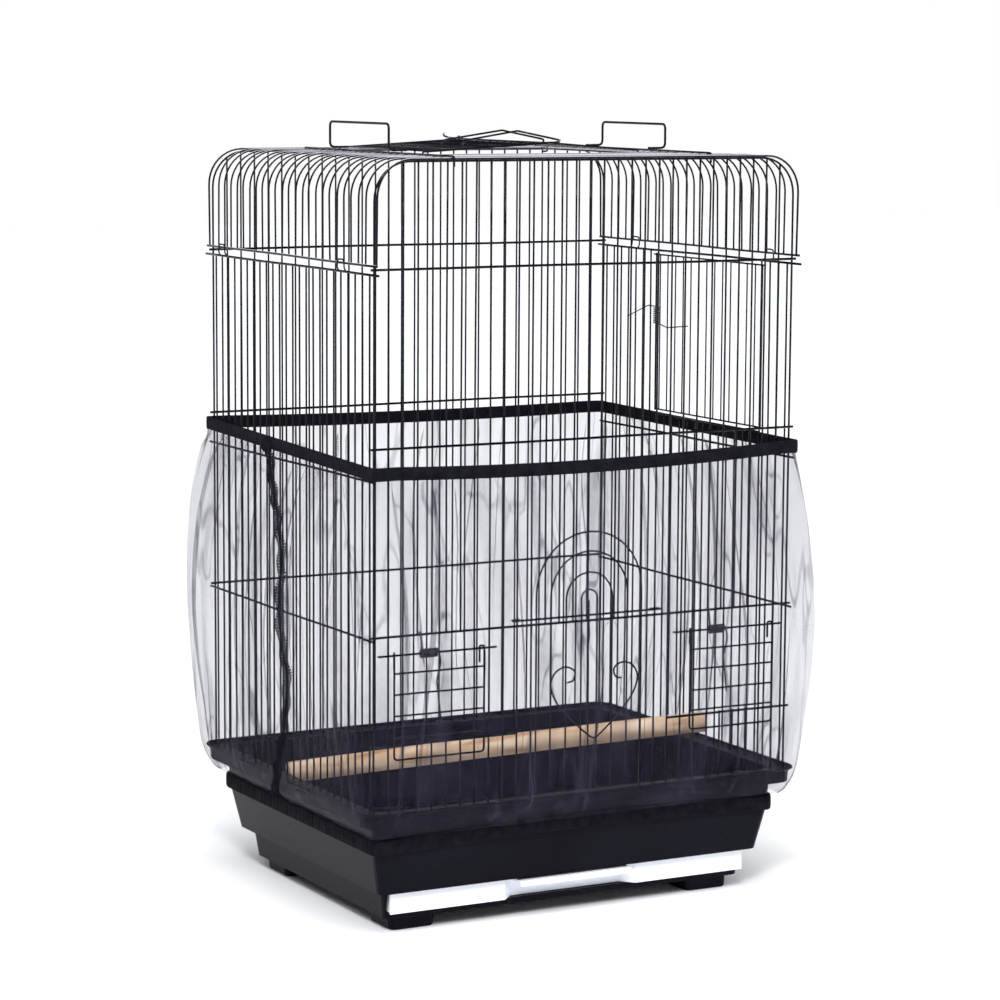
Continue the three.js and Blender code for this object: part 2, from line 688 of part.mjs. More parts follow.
// A long straight side gets points between its corners, so that it can sag.
function withMidpoints(ring, parts) {
  const dense = [];
  ring.forEach((p, i) => {
    const q = ring[(i + 1) % ring.length];
    const pieces = p.distanceTo(q) > 100 ? parts : 1;
    for (let k = 0; k < pieces; k++) dense.push(p.clone().lerp(q, k / pieces));
  });
  return dense;
}
function sagging(ring, heightAt) {
  const dense = withMidpoints(ring, 4);
  for (const p of dense) p.z = heightAt(p.x, p.y);
  return dense;
}
const bandEdge = (out, lift) => sagging(bandRing(out, lift), (x, y) => bandLow(x, y) + lift);
const band = skin(
  [
    bandEdge(BAND_THICK, 0),
    bandEdge(BAND_THICK, BAND_HEIGHT),
    bandEdge(0, BAND_HEIGHT),
    bandEdge(0, 0),
  ],
  true,
);
part("net_band", band, NET_CLOTH);

// How far the cloth stands outside the bars' planes, from the band down to the hem.
const CLOTH_PROFILE = [
  [-0.5, 5.5, 11.5],
  [-24, 14, 16],
  [-62, 22, 23],
  [-112, 28, 28],
  [-165, 29.5, 30],
  [-222, 26, 27],
  [-272, 20.5, 21],
  [-304, 16.5, 17],
  [-322, 10.5, 11],
  [-330, -1.5, -2],
];
const CLOTH_THICK = 0.6;
function clothRing([drop, outX, outY], inset) {
  const halfX = HALF_X + outX - inset;
  const halfY = HALF_Y + outY - inset;
  const radius = 6 + Math.max(outX - 5, 0) * 0.9 - inset;
  const ring = roundRect(halfX, halfY, radius, 0, 3);
  const followsBand = Math.max(0, 1 + drop / 330);
  const level = (x, y) => 424 + drop + (bandLow(x, y) - 424) * followsBand;
  return sagging(ring, level);
}
const cloth = skin(
  [
    ...CLOTH_PROFILE.map((row) => clothRing(row, 0)).reverse(),
    ...CLOTH_PROFILE.map((row) => clothRing(row, CLOTH_THICK)),
  ],
  true,
);
part("net_fabric", cloth, NET_CLOTH);

const HEM_TOP = 93.4;
const HEM_LOW = 79;
const hemRing = (out, z) => roundRect(211.4 + out, 166.6 + out, 10 + out, z, 3);
const hem = skin(
  [
    hemRing(BAND_THICK, HEM_LOW),
    hemRing(BAND_THICK, HEM_TOP),
    hemRing(0, HEM_TOP),
    hemRing(0, HEM_LOW),
  ],
  true,
);
part("net_hem", hem, NET_CLOTH);

export default group;
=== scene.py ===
import math

import bpy
import numpy as np
from mathutils import Matrix, Vector


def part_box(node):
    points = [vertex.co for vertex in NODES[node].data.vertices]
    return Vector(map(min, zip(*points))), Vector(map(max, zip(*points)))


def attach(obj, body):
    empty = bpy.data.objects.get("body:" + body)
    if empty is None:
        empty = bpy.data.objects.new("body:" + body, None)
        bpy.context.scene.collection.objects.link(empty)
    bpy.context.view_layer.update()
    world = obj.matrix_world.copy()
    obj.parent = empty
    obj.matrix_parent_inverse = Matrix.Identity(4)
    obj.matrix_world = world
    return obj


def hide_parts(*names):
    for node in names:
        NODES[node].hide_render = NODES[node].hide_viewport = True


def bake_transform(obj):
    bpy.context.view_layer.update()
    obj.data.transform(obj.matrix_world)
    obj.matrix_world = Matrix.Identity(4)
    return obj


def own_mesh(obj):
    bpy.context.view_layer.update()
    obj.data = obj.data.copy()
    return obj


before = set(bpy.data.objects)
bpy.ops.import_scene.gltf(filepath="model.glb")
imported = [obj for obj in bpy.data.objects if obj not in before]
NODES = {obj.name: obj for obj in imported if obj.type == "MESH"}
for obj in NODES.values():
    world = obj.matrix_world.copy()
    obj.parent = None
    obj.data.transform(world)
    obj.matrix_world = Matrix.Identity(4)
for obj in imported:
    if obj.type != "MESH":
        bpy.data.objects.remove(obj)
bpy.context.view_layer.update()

MM = 0.001

# ------------------------------------------------------------------ camera
CAMERA_PLACE = Vector((-1.4883, -2.7425, 0.7829))
CAMERA_YAW = math.radians(28.548)
CAMERA_PITCH = math.radians(7.546)
CAMERA_ROLL = math.radians(0.33)
CAMERA_LENS = 118.24


def make_camera():
    data = bpy.data.cameras.new("camera")
    data.lens = CAMERA_LENS
    data.sensor_width = 36
    data.clip_start, data.clip_end = 0.05, 60
    forward = Vector((
        math.sin(CAMERA_YAW) * math.cos(CAMERA_PITCH),
        math.cos(CAMERA_YAW) * math.cos(CAMERA_PITCH),
        -math.sin(CAMERA_PITCH),
    ))
    right = Vector((math.cos(CAMERA_YAW), -math.sin(CAMERA_YAW), 0))
    up = right.cross(forward)
    right_rolled = math.cos(CAMERA_ROLL) * right + math.sin(CAMERA_ROLL) * up
    up_rolled = -math.sin(CAMERA_ROLL) * right + math.cos(CAMERA_ROLL) * up
    rotation = Matrix((right_rolled, up_rolled, -forward)).transposed()
    camera = bpy.data.objects.new("camera", data)
    camera.matrix_world = Matrix.Translation(CAMERA_PLACE) @ rotation.to_4x4()
    bpy.context.scene.collection.objects.link(camera)
    bpy.context.scene.camera = camera


make_camera()


# ------------------------------------------------------------------ materials
def new_material(name):
    material = bpy.data.materials.new(name)
    material.use_nodes = True
    tree = material.node_tree
    tree.nodes.clear()
    output = tree.nodes.new("ShaderNodeOutputMaterial")
    return material, tree, output


def add(tree, kind, **settings):
    node = tree.nodes.new("ShaderNode" + kind)
    for key, value in settings.items():
        setattr(node, key, value)
    return node


def link(tree, a, out, b, into):
    tree.links.new(a.outputs[out], b.inputs[into])


def object_noise(tree, scale, detail=4.0, stretch=(1, 1, 1)):
    place = add(tree, "TexCoord")
    mapping = add(tree, "Mapping")
    mapping.inputs["Scale"].default_value = stretch
    noise = add(tree, "TexNoise")
    noise.inputs["Scale"].default_value = scale
    noise.inputs["Detail"].default_value = detail
    link(tree, place, "Object", mapping, "Vector")
    link(tree, mapping, "Vector", noise, "Vector")
    return noise


def ramp(tree, source, out, stops):
    node = tree.nodes.new("ShaderNodeValToRGB")
    ends = node.color_ramp.elements
    ends[0].position, ends[0].color = stops[0][0], (*stops[0][1], 1)
    ends[1].position, ends[1].color = stops[-1][0], (*stops[-1][1], 1)
    for position, colour in stops[1:-1]:
        ends.new(position).color = (*colour, 1)
    link(tree, source, out, node, "Fac")
    return node


def map_range(tree, source, out, low, high, to_low, to_high):
    node = add(tree, "MapRange")
    node.inputs["From Min"].default_value = low
    node.inputs["From Max"].default_value = high
    node.inputs["To Min"].default_value = to_low
    node.inputs["To Max"].default_value = to_high
    link(tree, source, out, node, "Value")
    return node


def bump(tree, source, out, strength, distance):
    node = add(tree, "Bump")
    node.inputs["Strength"].default_value = strength
    node.inputs["Distance"].default_value = distance
    link(tree, source, out, node, "Height")
    return node


def coated_wire(name, upper=None):
    """Black dip-coated wire: satin, slightly uneven; upper is a pale colour for its upward side, a
    painted highlight.
    """
    material, tree, output = new_material(name)
    shader = add(tree, "BsdfPrincipled")
    shader.inputs["Specular IOR Level"].default_value = 0.14
    broad = object_noise(tree, 45, 3)
    colour = ramp(tree, broad, "Fac", [
        (0.3, (0.0015, 0.0015, 0.003)),
        (0.6, (0.003, 0.003, 0.006)),
        (0.8, (0.008, 0.008, 0.012)),
    ])
    if upper is None:
        link(tree, colour, "Color", shader, "Base Color")
    else:
        # painted highlight: upward-facing surfaces are mixed towards the pale colour upper, standing in
        # for light reflected off the top of the wire
        surface = add(tree, "NewGeometry")
        facing = add(tree, "SeparateXYZ")
        link(tree, surface, "Normal", facing, "Vector")
        top = map_range(tree, facing, "Z", 0.6, 0.9, 0.0, 1.0)
        painted_highlight_mix = add(tree, "Mix", data_type="RGBA")
        painted_highlight_mix.inputs[7].default_value = (*upper, 1)
        link(tree, top, "Result", painted_highlight_mix, 0)
        link(tree, colour, "Color", painted_highlight_mix, 6)
        link(tree, painted_highlight_mix, 2, shader, "Base Color")
    rough = map_range(tree, broad, "Fac", 0.3, 0.7, 0.13, 0.24)
    link(tree, rough, "Result", shader, "Roughness")
    fine = object_noise(tree, 900, 2)
    relief = bump(tree, fine, "Fac", 0.06, 0.0002)
    link(tree, relief, "Normal", shader, "Normal")
    link(tree, shader, "BSDF", output, "Surface")
    return material


def moulded_plastic(name, dark, light, rough_low, rough_high, grain, specular=0.5):
    """Plastic with a faint grain, a little uneven in tone and gloss."""
    material, tree, output = new_material(name)
    shader = add(tree, "BsdfPrincipled")
    shader.inputs["Specular IOR Level"].default_value = specular
    broad = object_noise(tree, 9, 5)
    colour = ramp(tree, broad, "Fac", [(0.3, dark), (0.7, light)])
    link(tree, colour, "Color", shader, "Base Color")
    rough = map_range(tree, broad, "Fac", 0.3, 0.7, rough_low, rough_high)
    link(tree, rough, "Result", shader, "Roughness")
    fine = object_noise(tree, 1400, 2)
    relief = bump(tree, fine, "Fac", grain, 0.0002)
    link(tree, relief, "Normal", shader, "Normal")
    link(tree, shader, "BSDF", output, "Surface")
    return material


def spring_wire():
    material, tree, output = new_material("spring_wire")
    shader = add(tree, "BsdfPrincipled")
    shader.inputs["Metallic"].default_value = 0.9
    drawn = object_noise(tree, 300, 3)
    colour = ramp(tree, drawn, "Fac", [(0.3, (0.02, 0.02, 0.022)), (0.7, (0.06, 0.06, 0.065))])
    link(tree, colour, "Color", shader, "Base Color")
    rough = map_range(tree, drawn, "Fac", 0.3, 0.7, 0.25, 0.42)
    link(tree, rough, "Result", shader, "Roughness")
    link(tree, shader, "BSDF", output, "Surface")
    return material


def perch_wood():
    """Pale turned softwood: long fibres, faint rings and a few darker pores."""
    material, tree, output = new_material("perch_wood")
    shader = add(tree, "BsdfPrincipled")
    shader.inputs["Specular IOR Level"].default_value = 0.3
    fibres = object_noise(tree, 60, 8, (0.09, 1.6, 1.6))
    colour = ramp(tree, fibres, "Fac", [
        (0.28, (0.36, 0.2, 0.11)),
        (0.42, (0.6, 0.4, 0.26)),
        (0.58, (0.74, 0.55, 0.4)),
        (0.75, (0.84, 0.68, 0.54)),
    ])
    link(tree, colour, "Color", shader, "Base Color")
    rough = map_range(tree, fibres, "Fac", 0.3, 0.7, 0.75, 0.5)
    link(tree, rough, "Result", shader, "Roughness")
    relief = bump(tree, fibres, "Fac", 0.5, 0.0004)
    link(tree, relief, "Normal", shader, "Normal")
    link(tree, shader, "BSDF", output, "Surface")
    return material


def uv_grid(tree, across, along):
    """Two cosine waves, one each way over the cloth's own coordinates, which are in metres."""
    uv = add(tree, "UVMap")
    uv.uv_map = "cloth"
    split = add(tree, "SeparateXYZ")
    link(tree, uv, "UV", split, "Vector")
    waves = []
    for axis, cell in (("X", across), ("Y", along)):
        scaled = add(tree, "Math", operation="MULTIPLY")
        scaled.inputs[1].default_value = 2 * math.pi / cell
        link(tree, split, axis, scaled, 0)
        wave = add(tree, "Math", operation="COSINE")
        link(tree, scaled, "Value", wave, 0)
        waves.append(wave)
    return waves


MESH_ACROSS, MESH_DOWN = 0.0025, 0.0022  # one hole and its thread, in metres
HOLE_COVER, THREAD_COVER = 0.01, 0.42  # how much a hole and a thread hide
CASING_RIB = 0.0011


def casing_cloth():
    """Black ribbed elastic casing of the band, hem and seam."""
    material, tree, output = new_material("casing_cloth")
    shader = add(tree, "BsdfPrincipled")
    shader.inputs["Sheen Weight"].default_value = 0.01
    shader.inputs["Sheen Roughness"].default_value = 0.4
    shader.inputs["Specular IOR Level"].default_value = 0.05
    shader.inputs["Roughness"].default_value = 0.85
    patches = object_noise(tree, 120, 5)
    colour = ramp(tree, patches, "Fac", [(0.3, (0.003, 0.003, 0.005)), (0.7, (0.008, 0.008, 0.012))])
    link(tree, colour, "Color", shader, "Base Color")
    across, along = uv_grid(tree, CASING_RIB, CASING_RIB)
    weave = add(tree, "Math", operation="MULTIPLY")
    link(tree, across, "Value", weave, 0)
    link(tree, along, "Value", weave, 1)
    relief = bump(tree, weave, "Value", 0.35, 0.0003)
    link(tree, relief, "Normal", shader, "Normal")
    link(tree, shader, "BSDF", output, "Surface")
    return material


def tulle():
    """See-through net: fine threads round small holes, with upright streaks and thin crease lines."""
    material, tree, output = new_material("tulle")
    threads = add(tree, "BsdfPrincipled")
    threads.inputs["Roughness"].default_value = 0.6
    threads.inputs["Specular IOR Level"].default_value = 0.2
    tint = object_noise(tree, 30, 3)
    colour = ramp(tree, tint, "Fac", [(0.3, (0.012, 0.011, 0.022)), (0.7, (0.03, 0.027, 0.052))])
    link(tree, colour, "Color", threads, "Base Color")
    clear = add(tree, "BsdfTransparent")
    across, along = uv_grid(tree, MESH_ACROSS, MESH_DOWN)
    mesh = add(tree, "Math", operation="MULTIPLY")
    link(tree, across, "Value", mesh, 0)
    link(tree, along, "Value", mesh, 1)
    pattern = map_range(tree, mesh, "Value", -0.35, 0.75, THREAD_COVER, HOLE_COVER)
    bunched = object_noise(tree, 34, 3, (1, 1, 0.12))
    streaks = map_range(tree, bunched, "Fac", 0.5, 0.72, 0.8, 1.8)
    wander = object_noise(tree, 15, 2, (1, 1, 0.2))
    crease = add(tree, "Math", operation="SUBTRACT")
    crease.inputs[1].default_value = 0.5
    link(tree, wander, "Fac", crease, 0)
    edge = add(tree, "Math", operation="ABSOLUTE")
    link(tree, crease, "Value", edge, 0)
    lines = map_range(tree, edge, "Value", 0.002, 0.008, 2.0, 1.0)
    gather = add(tree, "Math", operation="MULTIPLY")
    link(tree, streaks, "Result", gather, 0)
    link(tree, lines, "Result", gather, 1)
    cover = add(tree, "Math", operation="MULTIPLY")
    link(tree, pattern, "Result", cover, 0)
    link(tree, gather, "Value", cover, 1)
    mix = add(tree, "MixShader")
    link(tree, cover, "Value", mix, "Fac")
    link(tree, clear, "BSDF", mix, 1)
    link(tree, threads, "BSDF", mix, 2)
    link(tree, mix, "Shader", output, "Surface")
    return material


WIRE = coated_wire("coated_wire")
# the roof wires get a painted highlight: a pale tone on their upward side
ROOF_WIRE_PAINTED_HIGHLIGHT = coated_wire("roof_wire_painted_highlight", (0.55, 0.55, 0.6))
BLACK = moulded_plastic(
    "black_plastic", (0.002, 0.002, 0.004), (0.005, 0.005, 0.009), 0.2, 0.3, 0.08, specular=0.05,
)
WHITE = moulded_plastic("white_plastic", (0.78, 0.8, 0.86), (0.86, 0.88, 0.93), 0.3, 0.42, 0.1)
SPRING = spring_wire()
WOOD = perch_wood()
CASING = casing_cloth()
TULLE = tulle()


# ------------------------------------------------------------------ mesh helpers
def link_object(obj):
    bpy.context.scene.collection.objects.link(obj)
    return obj


def grid_object(name, points, material, closed_u=True, closed_v=False, uv=None, cap=False):
    """A quad mesh over points[v][u]; u runs round, v runs down or along."""
    rows, columns = points.shape[:2]
    mesh = bpy.data.meshes.new(name)
    faces = []
    last_u = columns if closed_u else columns - 1
    last_v = rows if closed_v else rows - 1
    for v in range(last_v):
        below = (v + 1) % rows
        for u in range(last_u):
            side = (u + 1) % columns
            here, there = v * columns, below * columns
            faces.append((here + u, there + u, there + side, here + side))
    if cap:
        faces.append(tuple(range(columns)))
        faces.append(tuple((rows - 1) * columns + u for u in reversed(range(columns))))
    mesh.from_pydata(points.reshape(-1, 3).tolist(), [], faces)
    if uv is not None:
        layer = mesh.uv_layers.new(name="cloth")
        flat_uv = np.zeros((len(mesh.loops), 2), np.float32)
        wrap = uv[:, :1] + (uv[:, -1:] - uv[:, :1]) * columns / max(columns - 1, 1)
        wide = np.concatenate([uv, wrap], axis=1)
        loop = 0
        for v in range(last_v):
            below = v + 1 if v + 1 < rows else 0
            for u in range(last_u):
                for row, column in ((v, u), (below, u), (below, u + 1), (v, u + 1)):
                    flat_uv[loop] = wide[row, column]
                    loop += 1
        layer.data.foreach_set("uv", flat_uv.ravel())
    mesh.materials.append(material)
    mesh.polygons.foreach_set("use_smooth", [True] * len(mesh.polygons))
    mesh.update()
    return link_object(bpy.data.objects.new(name, mesh))


def tube_points(path, radius, sides=8):
    """Rings of a round wire along a path of points, as points[step][side]."""
    path = [Vector(p) for p in path]
    headings = [(b - a).normalized() for a, b in zip(path, path[1:])]
    helper = Vector((1, 0, 0)) if abs(headings[0].z) > 0.9 else Vector((0, 0, 1))
    side = helper.cross(headings[0]).normalized()
    rings = []
    for i, point in enumerate(path):
        before = headings[max(i - 1, 0)]
        after = headings[min(i, len(headings) - 1)]
        mitre = (before + after).normalized()
        up = before.cross(side)
        ring = []
        for k in range(sides):
            angle = 2 * math.pi * k / sides
            corner = radius * (math.cos(angle) * side + math.sin(angle) * up)
            corner -= before * (corner.dot(mitre) / before.dot(mitre))
            ring.append(point + corner)
        rings.append(ring)
        side = before.rotation_difference(after) @ side
    return np.array(rings)


def eased(path, bend=2.5, steps=4):
    """The path with each corner rounded, in mm, as a bent wire is."""
    points = [Vector(p) for p in path]
    out = [points[0]]
    for before, corner, after in zip(points, points[1:], points[2:]):
        back, ahead = before - corner, after - corner
        reach = min(bend, back.length * 0.45, ahead.length * 0.45)
        start = corner + back.normalized() * reach
        end = corner + ahead.normalized() * reach
        for i in range(steps + 1):
            t = i / steps
            out.append(start * (1 - t) ** 2 + corner * 2 * t * (1 - t) + end * t * t)
    out.append(points[-1])
    return out


def wires_object(name, wires, material, sides=8):
    """One mesh of many round wires; wires are (path in mm, radius in mm)."""
    vertices, faces = [], []
    for path, radius in wires:
        rings = tube_points(path, radius, sides)
        first = len(vertices)
        vertices.extend((rings.reshape(-1, 3) * MM).tolist())
        count = len(rings)
        for i in range(count - 1):
            low, high = first + i * sides, first + (i + 1) * sides
            for k in range(sides):
                side = (k + 1) % sides
                faces.append((low + k, low + side, high + side, high + k))
        faces.append(tuple(first + k for k in reversed(range(sides))))
        faces.append(tuple(first + (count - 1) * sides + k for k in range(sides)))
    mesh = bpy.data.meshes.new(name)
    mesh.from_pydata(vertices, [], faces)
    mesh.materials.append(material)
    mesh.polygons.foreach_set("use_smooth", [len(f) == 4 for f in faces])
    mesh.update()
    return link_object(bpy.data.objects.new(name, mesh))


def paint(name, material):
    node = NODES[name]
    node.data.materials.clear()
    node.data.materials.append(material)
    return node


def round_edges(node, width, segments=2):
    bevel = node.modifiers.new("rounding", "BEVEL")
    bevel.width = width
    bevel.segments = segments
    bevel.limit_method = "ANGLE"
    bevel.angle_limit = math.radians(35)
    bevel.use_clamp_overlap = True
    bevel.harden_normals = False


# ------------------------------------------------------------------ hard pieces kept from the frame
for name in ["base_tub", "base_frame"] + [n for n in NODES if n.startswith("foot_")]:
    round_edges(paint(name, BLACK), 0.7 * MM)
round_edges(paint("tray", WHITE), 0.8 * MM)


# ------------------------------------------------------------------ perch
def perch():
    """The dowel: slightly bowed and uneven, with eased ends."""
    low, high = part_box("perch")
    radius = 10 * MM
    start = Vector((low.x + 2 * MM, high.y - radius, low.z + radius))
    end = Vector((high.x - 2 * MM, low.y + radius, high.z - radius))
    along = (end - start).normalized()
    side = along.cross(Vector((0, 0, 1))).normalized()
    up = side.cross(along)
    length = (end - start).length
    near_end = [0, 0.0003, 0.0012, 0.003, 0.006]
    stations = near_end + list(np.linspace(0.02, length - 0.02, 50))
    stations += [length - s for s in reversed(near_end)]
    rings = []
    for s in stations:
        edge = min(s, length - s)
        shrink = 1.2 * MM * max(0, 1 - edge / 0.0016) ** 2
        bow = 0.9 * MM * math.sin(math.pi * s / length)
        centre = start + along * s + up * bow
        ring = []
        for k in range(40):
            angle = 2 * math.pi * k / 40
            rough = 0.12 * MM * math.sin(3 * angle + 40 * s) * math.sin(23 * s + angle)
            outward = math.cos(angle) * side + math.sin(angle) * up
            ring.append(centre + (radius - shrink + rough) * outward)
        rings.append(ring)
    piece = grid_object("perch_dowel", np.array(rings), WOOD, cap=True)
    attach(piece, "cage")
    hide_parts("perch")


perch()


# ------------------------------------------------------------------ wires, in mm
PITCH = 14.5
FRONT_BARS, SIDE_BARS, ROOF_BARS = 31, 24, 23
HALF_X, HALF_Y = 217.5, 174.0
BAR_R, CORNER_R, RAIL_R = 0.9, 1.0, 1.15
BAR_FOOT = 119.5
FRAME_TOP, ROOF_TOP, ROOF_RADIUS = 699.0, 701.2, 34.0
ROOF_RAIL, SIDE_TOP, TOP_RAIL = 608.5, 600.5, 605.0
LOW_RAIL, MID_RAIL, HIGH_RAIL = 181.0, 279.5, 447.3
SIDE_MID_RAIL, SIDE_HIGH_RAIL, NEST_SILL = 276.3, 418.4, 437.0
FACE_RAIL_Y, FACE_RAIL_END, LOW_RAIL_SWAY = 1.75, 221, 0.1
SIDE_BAR_OUT, SIDE_RAIL_X, SIDE_RAIL_END, TOP_RAIL_END = 0.3, 1.9, 180, 187
ROOF_HOOP_OUT, ROOF_RAIL_END, ROOF_EDGE_Y = 0.7, 184, 181
HATCH_X = 111.0
HATCH_FIRST, HATCH_LAST = 7, 18  # hoops cut by the roof opening
rng = np.random.default_rng(7)


def bar_x(k):
    return (k - (FRONT_BARS - 1) / 2) * PITCH


def bar_y(k):
    return (k - (SIDE_BARS - 1) / 2) * PITCH


def hoop_y(k):
    return (k - (ROOF_BARS - 1) / 2) * PITCH


def upright(x, y, low, high, sway=(0.7, 0.35), stations=9):
    """A thin bar that isn't quite straight; sway is its largest bow along X and Y."""
    phase = rng.uniform(0, 2 * math.pi, 2)
    size = rng.normal(0, 0.5, 2)
    path = []
    for i in range(stations):
        t = i / (stations - 1)
        hump = math.sin(math.pi * t)
        dx = sway[0] * size[0] * hump * math.sin(2.2 * t + phase[0])
        dy = sway[1] * size[1] * hump * math.sin(2.2 * t + phase[1])
        path.append((x + dx, y + dy, low + (high - low) * t))
    return path


def arc(cx, cz, radius, start, end, steps, y):
    angles = [math.radians(start + (end - start) * i / steps) for i in range(steps + 1)]
    return [(cx + radius * math.cos(a), y, cz + radius * math.sin(a)) for a in angles]


def hoop(half_x, y, foot, top, lean=0.0):
    """Up one side, over and down the other; lean moves the upper part along Y."""
    cx, cz = half_x - ROOF_RADIUS, top - ROOF_RADIUS
    rising = arc(-cx, cz, ROOF_RADIUS, 180, 90, 10, y + lean)
    falling = arc(cx, cz, ROOF_RADIUS, 90, 0, 10, y + lean)
    return [(-half_x, y, foot)] + rising + falling + [(half_x, y, foot)]


def hoop_height(x, top):
    past = max(abs(x) - (HALF_X - ROOF_RADIUS), 0)
    return top - ROOF_RADIUS + math.sqrt(ROOF_RADIUS ** 2 - past ** 2)


def rail(start, end, sway=0.35):
    """A cross rail from start to end, very slightly wavy."""
    start, end = Vector(start), Vector(end)
    phase = rng.uniform(0, 2 * math.pi)
    path = []
    for i in range(13):
        t = i / 12
        point = start.lerp(end, t)
        point.z += sway * math.sin(7 * t + phase) * math.sin(math.pi * t)
        path.append(point)
    return path


FEEDER_BARS = (3, 4, 5, 6, 24, 25, 26, 27)
ARCH_BARS = (12, 13, 14, 15, 16, 17, 18)
NEST_BARS = tuple(range(4, 16))


def place_wires(name, wires, body, sides=8, material=WIRE):
    piece = wires_object(name + "_wires", wires, material, sides)
    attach(piece, body)
    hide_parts(name)
    return piece


def face_panel(sign, has_doors):
    y = sign * HALF_Y
    rail_y = y + sign * FACE_RAIL_Y
    wires = [(hoop(HALF_X, y, BAR_FOOT, FRAME_TOP, sign * 0.8), CORNER_R)]
    for k in range(1, FRONT_BARS - 1):
        x = bar_x(k)
        stopped = has_doors and (k in FEEDER_BARS or k in ARCH_BARS)
        foot = MID_RAIL - 1 if stopped else BAR_FOOT
        wires.append((upright(x, y, foot, hoop_height(x, FRAME_TOP) - 0.4), BAR_R))
    for z in (MID_RAIL, HIGH_RAIL, TOP_RAIL):
        wires.append((rail((-FACE_RAIL_END, rail_y, z), (FACE_RAIL_END, rail_y, z)), RAIL_R))
    if has_doors:
        for start, end in ((-FACE_RAIL_END, bar_x(10) - 1), (bar_x(21) - 1, FACE_RAIL_END)):
            path = rail((start, rail_y, LOW_RAIL), (end, rail_y, LOW_RAIL), LOW_RAIL_SWAY)
            wires.append((path, RAIL_R))
        for k in FEEDER_BARS:
            wires.append((upright(bar_x(k), y, BAR_FOOT, LOW_RAIL + 1.6, stations=4), BAR_R))
    return wires


def side_panel(sign, hooks, has_nest):
    x = sign * (HALF_X + SIDE_BAR_OUT)
    rail_x = sign * (HALF_X + SIDE_RAIL_X)
    wires = []
    for k in range(SIDE_BARS):
        top = NEST_SILL if has_nest and k in NEST_BARS else SIDE_TOP
        wires.append((upright(x, bar_y(k), BAR_FOOT, top, (0.3, 0.8)), BAR_R))
    rails = ((SIDE_MID_RAIL, SIDE_RAIL_END), (SIDE_HIGH_RAIL, SIDE_RAIL_END), (SIDE_TOP, TOP_RAIL_END))
    for z, end in rails:
        wires.append((rail((rail_x, -end, z), (rail_x, end, z)), RAIL_R))
    if has_nest:
        wires.append(([(x, bar_y(3), NEST_SILL), (x, bar_y(16), NEST_SILL)], RAIL_R))
    for k in hooks:
        out = rail_x + sign * 2.1
        y = bar_y(k)
        loop = [(rail_x, y, SIDE_TOP), (out, y, SIDE_TOP + 3), (out, y + 1, SIDE_TOP + 11)]
        loop += [(p[0], 2 * y + PITCH - p[1], p[2]) for p in reversed(loop)]
        wires.append((eased(loop, 3), 0.75))
    return wires


def roof_panel():
    wires = []
    hoop_x = HALF_X + ROOF_HOOP_OUT
    for x in (-HALF_X - SIDE_RAIL_X, HALF_X + SIDE_RAIL_X):
        path = rail((x, -ROOF_RAIL_END, ROOF_RAIL), (x, ROOF_RAIL_END, ROOF_RAIL))
        wires.append((path, RAIL_R))
    for y in (-ROOF_EDGE_Y, ROOF_EDGE_Y):
        wires.append((hoop(hoop_x, y, ROOF_RAIL, ROOF_TOP, math.copysign(1.2, y)), CORNER_R))
    for k in range(ROOF_BARS):
        y = hoop_y(k)
        path = hoop(hoop_x, y, ROOF_RAIL, ROOF_TOP + rng.normal(0, 0.25), rng.normal(0, 0.7))
        if k < HATCH_FIRST or k > HATCH_LAST:
            wires.append((path, BAR_R))
            continue
        half = len(path) // 2
        wires.append((path[:half] + [(-HATCH_X, y, ROOF_TOP)], BAR_R))
        wires.append(([(HATCH_X, y, ROOF_TOP)] + path[half:], BAR_R))
    for x in (-HATCH_X, HATCH_X):
        start, end = hoop_y(HATCH_FIRST - 1), hoop_y(HATCH_LAST + 1)
        wires.append((rail((x, start, ROOF_TOP), (x, end, ROOF_TOP), 0.1), CORNER_R))
    return wires


place_wires("front_panel", face_panel(-1, True), "cage")
place_wires("back_panel", face_panel(1, False), "cage")
place_wires("left_panel", side_panel(-1, (3, 21), False), "cage")
place_wires("right_panel", side_panel(1, (2, 19), True), "cage")
place_wires("roof_panel", roof_panel(), "cage", material=ROOF_WIRE_PAINTED_HIGHLIGHT)

ROD_Z = 703.2
HANDLE_FOOT_Z, HANDLE_BACK_Y, HANDLE_R = 705.6, 59, 1.15
for side, x, front in (("left", -145, -186), ("right", 141, -152.2)):
    path = eased([(x, 120, ROD_Z + 0.3), (x, front, ROD_Z), (x, front, ROD_Z - 9)], 2.5)
    place_wires("roof_rod_" + side, [(path, 1.05)], "cage")
for side, sign, front, top in (("left", -1, -64, 729.5), ("right", 1, -59, 728)):
    foot_x, x = sign * 129.5, sign * 148
    half = [(foot_x, front, HANDLE_FOOT_Z), (x, front, HANDLE_FOOT_Z), (x, front, top)]
    path = half + [(x, HANDLE_BACK_Y, z) for x, _, z in reversed(half)]
    place_wires("carry_handle_" + side, [(eased(path, 5, 6), HANDLE_R)], "cage", 10)

HATCH_HINGE_Z, HATCH_INNER_Z, BAIL_PEAK = ROOF_TOP + 2.8, 711.0, 721.0
HATCH_FRONT_Y, HATCH_BACK_Y = hoop_y(HATCH_FIRST) - PITCH / 2, hoop_y(HATCH_LAST) + PITCH / 2
HATCH_MIDDLE = 20.5
BAILS = (
    (hoop_y(11), hoop_y(11) + PITCH / 2, (-35, 67)),
    (hoop_y(13) + 2, hoop_y(13) + PITCH / 2, (-42, 67)),
)


